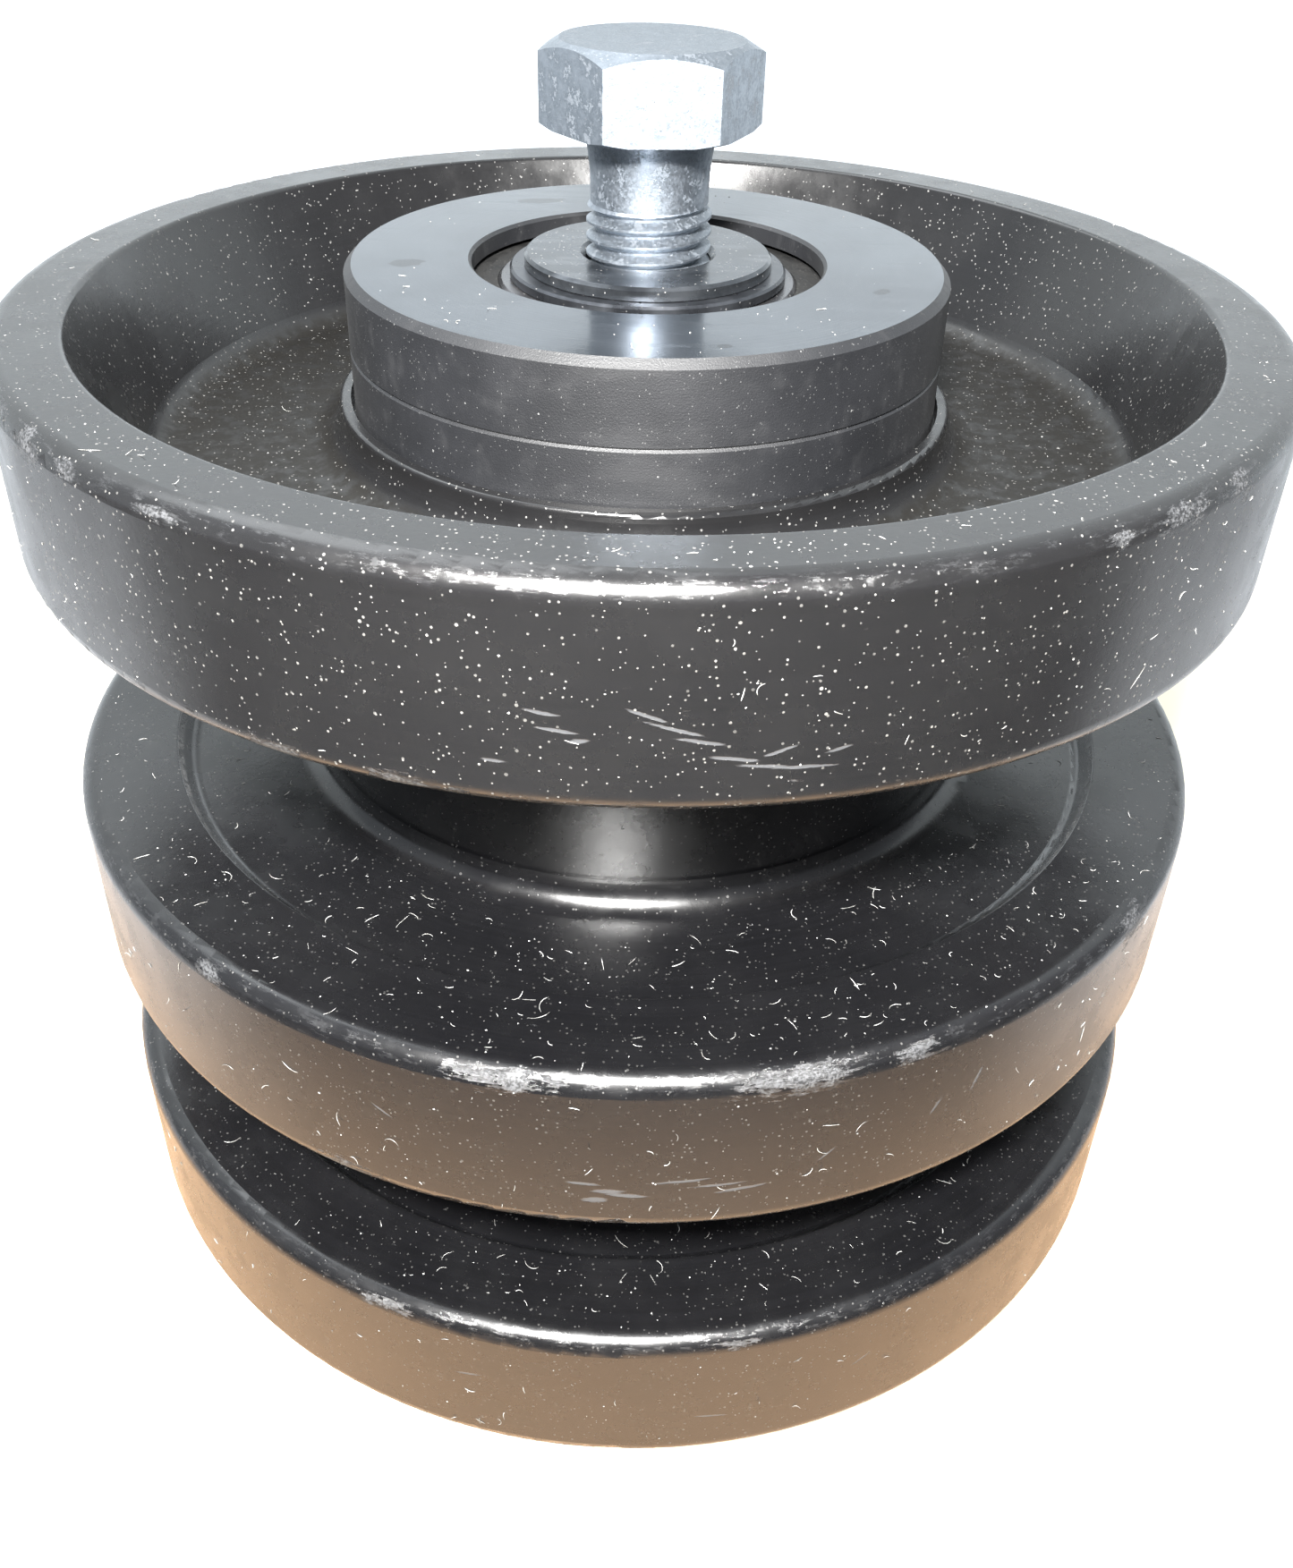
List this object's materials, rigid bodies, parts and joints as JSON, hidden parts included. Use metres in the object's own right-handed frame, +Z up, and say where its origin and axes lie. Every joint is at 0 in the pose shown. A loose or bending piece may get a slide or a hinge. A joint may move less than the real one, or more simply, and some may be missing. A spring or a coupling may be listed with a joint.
{
  "type": "sliding door roller",
  "caption": "Upright stack of black cup-shaped steel rollers turning on sealed ball bearings on one steel axle, with a hex bolt in its upper end to clamp a bracket.",
  "frame": {"origin": "centre of the axle's lower end face", "axes": "+Z up along the axle towards the bolt head; +X to the right, +Y away from the viewer; a hex flat of the bolt head faces roughly -Y"},
  "size_m": [0.165, 0.165, 0.1703],
  "materials": {
    "wheel_paint": "glossy black enamel, dusty and scratched",
    "housing_paint": "satin blue-black, fine turning marks",
    "axle_steel": "dull turned steel",
    "zinc_plating": "bright zinc plate",
    "spring_steel": "oiled spring steel",
    "sleeve_steel": "turned steel",
    "bearing_steel": "ground bearing steel",
    "ball_steel": "polished",
    "cage_polyamide": "natural",
    "seal_rubber": "matt, dusty"
  },
  "bodies": {
    "axle_set": {"axle": "axle_steel", "upper_axle_retaining_ring": "spring_steel", "lower_axle_retaining_ring": "spring_steel", "upper_roller_sleeve": "sleeve_steel", "lower_roller_sleeve": "sleeve_steel", "upper_inner_sleeve": "sleeve_steel", "upper_rim_bearing_inner_ring": "bearing_steel", "upper_hub_bearing_inner_ring": "bearing_steel", "middle_inner_sleeve": "sleeve_steel", "middle_rim_bearing_inner_ring": "bearing_steel", "middle_hub_bearing_inner_ring": "bearing_steel", "lower_inner_sleeve": "sleeve_steel", "lower_rim_bearing_inner_ring": "bearing_steel", "lower_hub_bearing_inner_ring": "bearing_steel"},
    "bolt": {"hex_bolt": "zinc_plating"},
    "upper_roller": {"upper_wheel": "wheel_paint", "upper_bearing_housing": "housing_paint", "upper_housing_retaining_ring": "spring_steel", "upper_outer_spacer": "sleeve_steel", "upper_rim_bearing_outer_ring": "bearing_steel", "upper_rim_bearing_seals": "seal_rubber", "upper_hub_bearing_outer_ring": "bearing_steel", "upper_hub_bearing_seals": "seal_rubber"},
    "upper_rim_bearing_cage_set": {"upper_rim_bearing_balls": "ball_steel", "upper_rim_bearing_cage": "cage_polyamide"},
    "upper_hub_bearing_cage_set": {"upper_hub_bearing_balls": "ball_steel", "upper_hub_bearing_cage": "cage_polyamide"},
    "middle_roller": {"middle_wheel": "wheel_paint", "middle_bearing_housing": "housing_paint", "middle_housing_retaining_ring": "spring_steel", "middle_outer_spacer": "sleeve_steel", "middle_rim_bearing_outer_ring": "bearing_steel", "middle_rim_bearing_seals": "seal_rubber", "middle_hub_bearing_outer_ring": "bearing_steel", "middle_hub_bearing_seals": "seal_rubber"},
    "middle_rim_bearing_cage_set": {"middle_rim_bearing_balls": "ball_steel", "middle_rim_bearing_cage": "cage_polyamide"},
    "middle_hub_bearing_cage_set": {"middle_hub_bearing_balls": "ball_steel", "middle_hub_bearing_cage": "cage_polyamide"},
    "lower_roller": {"lower_wheel": "wheel_paint", "lower_bearing_housing": "housing_paint", "lower_housing_retaining_ring": "spring_steel", "lower_outer_spacer": "sleeve_steel", "lower_rim_bearing_outer_ring": "bearing_steel", "lower_rim_bearing_seals": "seal_rubber", "lower_hub_bearing_outer_ring": "bearing_steel", "lower_hub_bearing_seals": "seal_rubber"},
    "lower_rim_bearing_cage_set": {"lower_rim_bearing_balls": "ball_steel", "lower_rim_bearing_cage": "cage_polyamide"},
    "lower_hub_bearing_cage_set": {"lower_hub_bearing_balls": "ball_steel", "lower_hub_bearing_cage": "cage_polyamide"}
  },
  "joints": [
    {"name": "upper_wheel_spin", "type": "hinge", "parent": "axle_set", "child": "upper_roller", "pos_m": [0, 0, 0.1407], "axis": [0, 0, 1], "continuous": true},
    {"name": "upper_rim_cage_spin", "type": "hinge", "parent": "axle_set", "child": "upper_rim_bearing_cage_set", "pos_m": [0, 0, 0.1357], "axis": [0, 0, 1], "continuous": true},
    {"name": "upper_hub_cage_spin", "type": "hinge", "parent": "axle_set", "child": "upper_hub_bearing_cage_set", "pos_m": [0, 0, 0.1151], "axis": [0, 0, 1], "continuous": true},
    {"name": "middle_wheel_spin", "type": "hinge", "parent": "axle_set", "child": "middle_roller", "pos_m": [0, 0, 0.0533], "axis": [0, 0, 1], "continuous": true},
    {"name": "middle_rim_cage_spin", "type": "hinge", "parent": "axle_set", "child": "middle_rim_bearing_cage_set", "pos_m": [0, 0, 0.0583], "axis": [0, 0, 1], "continuous": true},
    {"name": "middle_hub_cage_spin", "type": "hinge", "parent": "axle_set", "child": "middle_hub_bearing_cage_set", "pos_m": [0, 0, 0.0789], "axis": [0, 0, 1], "continuous": true},
    {"name": "lower_wheel_spin", "type": "hinge", "parent": "axle_set", "child": "lower_roller", "pos_m": [0, 0, 0.0047], "axis": [0, 0, 1], "continuous": true},
    {"name": "lower_rim_cage_spin", "type": "hinge", "parent": "axle_set", "child": "lower_rim_bearing_cage_set", "pos_m": [0, 0, 0.0097], "axis": [0, 0, 1], "continuous": true},
    {"name": "lower_hub_cage_spin", "type": "hinge", "parent": "axle_set", "child": "lower_hub_bearing_cage_set", "pos_m": [0, 0, 0.0303], "axis": [0, 0, 1], "continuous": true},
    {"name": "bolt_travel", "type": "slide", "parent": "axle_set", "child": "bolt", "axis": [0, 0, 1], "range_m": [-0.0135, 0.024]}
  ],
  "couplings": [
    {"joint": "upper_rim_cage_spin", "follows": "upper_wheel_spin", "ratio": 0.58444},
    {"joint": "upper_hub_cage_spin", "follows": "upper_wheel_spin", "ratio": 0.58444},
    {"joint": "middle_rim_cage_spin", "follows": "middle_wheel_spin", "ratio": 0.58444},
    {"joint": "middle_hub_cage_spin", "follows": "middle_wheel_spin", "ratio": 0.58444},
    {"joint": "lower_rim_cage_spin", "follows": "lower_wheel_spin", "ratio": 0.58444},
    {"joint": "lower_hub_cage_spin", "follows": "lower_wheel_spin", "ratio": 0.58444}
  ]
}
